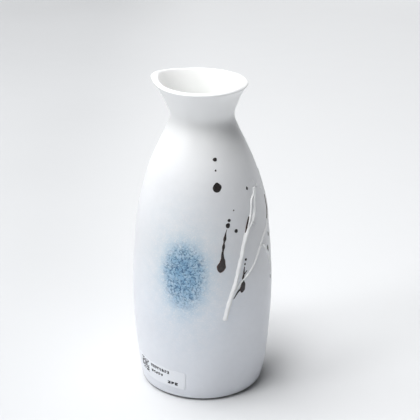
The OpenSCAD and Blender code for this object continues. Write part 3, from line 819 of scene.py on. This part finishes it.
def blot(az, z, half_w, half_h, relief, seed):
    """Low round dome of glaze with a slightly uneven edge."""
    turns = np.radians(np.arange(SPOT_TURNS) * 360 / SPOT_TURNS)
    rng = np.random.default_rng(seed)
    lobes = sum(rng.normal(0, SPOT_LOBES) * np.cos(n * turns + rng.uniform(0, 6)) for n in (2, 3, 4, 5))
    reach = np.sin(np.linspace(0.02, 1, 12) * np.pi / 2)
    reach = np.append(reach, [1.0, 0.6, 0.02])
    lift = relief * film_profile(reach)
    lift[-4:] = (0, -SUNK, -SUNK, -SUNK)
    x = reach[:, None] * (half_w + SPOT_SPREAD) * (1 + lobes) * np.cos(turns)
    y = reach[:, None] * (half_h + SPOT_SPREAD) * (1 + lobes) * np.sin(turns)
    points, faces, _ = loft(lifted(az + degrees(x, z), z + y, lift[:, None]))
    return (points, faces), np.append(np.repeat(reach, SPOT_TURNS), (0, 0))


def make_spots(look):
    made = [blot(*spot, IRON_RELIEF * min(1, spot[2]), 20 + i) for i, spot in enumerate(SPOTS)]
    points, faces = joined([m[0] for m in made])
    spots = piece("iron_spots", points, faces, look, "iron_glaze", ["iron_spots"])
    note(spots, "edge", SPOT_RUST * np.concatenate([m[1] for m in made]))
    note(spots, "painted_sheen", np.zeros(len(points)))


# ---- The price label ----

LABEL_AZ, LABEL_H, LABEL_TURN = -43.5, 12.8, -3.5
LABEL_LEN, LABEL_W, LABEL_CORNER = 35, 10.6, 1.3
ADHESIVE_T, PAPER_T, INK_T = 0.05, 0.12, 0.015
ADHESIVE_INSET = 0.15                      # how far the film stops short of the paper's edge
CODE_CELLS, CODE_CELL = 13, 0.56           # cells along each side of the square code, and their size
CODE_LEFT, CODE_LOW = -13.6, -2.8
# Lines of print: left end, foot, height, signs, pitch of the signs, share of ink.
PRINT_LINES = [
    (-4.4, 2.3, 1.8, 8, 1.6, 0.76), (-4.1, -0.8, 1.6, 5, 1.7, 0.8), (7.2, -3.7, 1.8, 3, 2.15, 0.88),
]


def on_label(x, y, lift):
    """Places on the label, x along it and y up it from its middle."""
    turn = np.radians(LABEL_TURN)
    across_x, up = x * np.cos(turn) - y * np.sin(turn), x * np.sin(turn) + y * np.cos(turn)
    return lifted(LABEL_AZ + degrees(across_x, LABEL_H), LABEL_H + up, lift)


def label_sheet(inset, low, high):
    """Sheet with rounded corners that follows the wall, between two lifts off it."""
    a = np.radians(np.linspace(90, 0, 7))
    straight = LABEL_W / 2 - LABEL_CORNER
    up = np.concatenate([-straight - LABEL_CORNER * np.sin(a), np.linspace(-straight, straight, 9)[1:-1],
                         (straight + LABEL_CORNER * np.sin(a))[::-1]])
    over = np.clip(np.abs(up) - straight, 0, LABEL_CORNER)
    half = LABEL_LEN / 2 - LABEL_CORNER + np.sqrt(LABEL_CORNER ** 2 - over ** 2)
    x = np.linspace(-1, 1, 71)[None] * (half - inset)[:, None]
    y = np.broadcast_to(up[:, None] * (1 - 2 * inset / LABEL_W), x.shape)
    return slab(on_label(x, y, high), on_label(x, y, low))


def mark(x, y, w, h):
    """One printed block, its lower left corner at x, y."""
    xs, ys = np.meshgrid(np.linspace(x, x + w, 2), np.linspace(y, y + h, 2))
    base = ADHESIVE_T + PAPER_T
    return slab(on_label(xs, ys, base + INK_T), on_label(xs, ys, base - INK_T))


def line_of_marks(x, y, high, count, pitch, fill, rng):
    """A line of print: each sign a few blocks of a small grid, with no meaning."""
    cell_w, cell_h = pitch * 0.8 / 3, high / 4
    blocks = []
    for sign in range(count):
        for col in range(3):
            for row in range(4):
                if rng.uniform() < fill:
                    blocks.append(mark(x + sign * pitch + col * cell_w, y + row * cell_h, cell_w, cell_h))
    return blocks


def make_label(sheet_look, glue_look, ink_look):
    film = label_sheet(ADHESIVE_INSET, 0, ADHESIVE_T)
    piece("label_adhesive", *film, glue_look, "adhesive", ["label_adhesive"])
    sheet = label_sheet(0, ADHESIVE_T, ADHESIVE_T + PAPER_T)
    piece("label_paper", *sheet, sheet_look, "label_paper", ["label_paper"])
    rng = np.random.default_rng(5)
    blocks = [mark(CODE_LEFT + i * CODE_CELL, CODE_LOW + j * CODE_CELL, CODE_CELL, CODE_CELL)
              for i in range(CODE_CELLS) for j in range(CODE_CELLS) if rng.uniform() < 0.5]
    for line in PRINT_LINES:
        blocks += line_of_marks(*line, rng)
    piece("label_print", *joined(blocks), ink_look, "label_paper", [])


# ---- Scene ----

FLOOR_HALF, FLOOR_CELLS = 3.0, 24      # half the floor's side in metres, and cells along a side
LENS, SENSOR = 108.95, 36
CAMERA_AT = (0.00405, -0.6145, 0.3469)
CAMERA_TURN = (np.radians(67.742), 0, 0.0027)
LIGHTS_AT = 0.08                       # height the lights face, about half way up the bottle
# Lights: name, azimuth, elevation, distance, side, watts.
LIGHTS = [
    ("overhead", -120, 75, 1.8, 1.6, 33.7), ("left", -90, 60, 1.8, 1.6, 15.8),
    ("front_fill", 20, 40, 1.3, 0.8, 1.0), ("back_fill", 160, 15, 1.3, 0.8, 1.8),
    ("low_key", -60, 40, 1.3, 0.3, 3.3), ("high_key", -30, 70, 1.3, 0.3, 4.6),
]


def make_floor(look):
    side = np.linspace(-FLOOR_HALF, FLOOR_HALF, FLOOR_CELLS + 1)
    y, x = np.meshgrid(side, side, indexing="ij")
    i = (np.arange(FLOOR_CELLS)[:, None] * (FLOOR_CELLS + 1) + np.arange(FLOOR_CELLS)).ravel()
    mesh = bpy.data.meshes.new("floor")
    mesh.from_pydata(np.stack([x, y, 0 * x], -1).reshape(-1, 3).tolist(), [],
                     np.stack([i, i + 1, i + FLOOR_CELLS + 2, i + FLOOR_CELLS + 1], -1).tolist())
    mesh.materials.append(look)
    floor = bpy.data.objects.new("floor", mesh)
    bpy.context.scene.collection.objects.link(floor)


def make_camera():
    """Looks down on the front at 22.26 degrees from four rim heights away."""
    data = bpy.data.cameras.new("camera")
    data.lens, data.sensor_width = LENS, SENSOR
    camera = bpy.data.objects.new("camera", data)
    camera.location = CAMERA_AT
    camera.rotation_mode = "ZYX"
    camera.rotation_euler = CAMERA_TURN
    bpy.context.scene.collection.objects.link(camera)
    bpy.context.scene.camera = camera


def soft_box(name, azimuth, elevation, distance, side, watts):
    """Square area light that faces the bottle's middle."""
    data = bpy.data.lights.new(name, "AREA")
    data.shape, data.size, data.energy = "SQUARE", side, watts
    light = bpy.data.objects.new(name, data)
    a, e = np.radians(azimuth), np.radians(elevation)
    light.location = (distance * np.sin(a) * np.cos(e), -distance * np.cos(a) * np.cos(e),
                      distance * np.sin(e) + LIGHTS_AT)
    light.rotation_euler = (np.pi / 2 - e, 0, a)
    bpy.context.scene.collection.objects.link(light)


def make_light():
    """Plain sky seen by the camera alone, two wide soft lights high up on the left, two small keys
    in front and weak fill before and behind."""
    scene = bpy.context.scene
    scene.view_settings.view_transform = "Standard"
    scene.world = bpy.data.worlds.new("studio")
    scene.world.use_nodes = True
    sky = scene.world.node_tree.nodes["Background"].inputs
    sky["Color"].default_value, sky["Strength"].default_value = SKY, SKY_POWER
    scene.world.cycles_visibility.diffuse = False
    scene.world.cycles_visibility.glossy = False
    for light in LIGHTS:
        soft_box(*light)


def main():
    glaze = white_glaze("white_glaze")
    blue = white_glaze("blue_frit", frit=True)
    dark = iron()
    white = slip()
    make_clay_body(bare_clay())
    make_outer_glaze(glaze)
    make_liner_glaze(liner_glaze())
    make_base_glaze(glaze)
    make_blue_patch(blue)
    make_trail("slip_trail_long", [LONG_PATH], THICK_RELIEF, white)
    for name, path in (("slip_trail_twin", TWIN_PATH), ("slip_trail_thin", THIN_PATH),
                       ("slip_trail_fork", FORK_PATH), ("slip_trail_arc", ARC_PATH)):
        make_trail(name, [path], THIN_RELIEF, white)
    make_trail("slip_drops", DROP_PATHS, DROP_RELIEF, white)
    make_spots(dark)
    for name, paths in (("iron_drip_left", [DRIP_LEFT]), ("iron_drip_right", DRIP_RIGHT),
                        ("iron_streak", STREAKS)):
        make_iron(name, paths, dark)
    make_label(paper(), adhesive(), ink())
    make_floor(floor_paper())
    make_camera()
    make_light()


main()
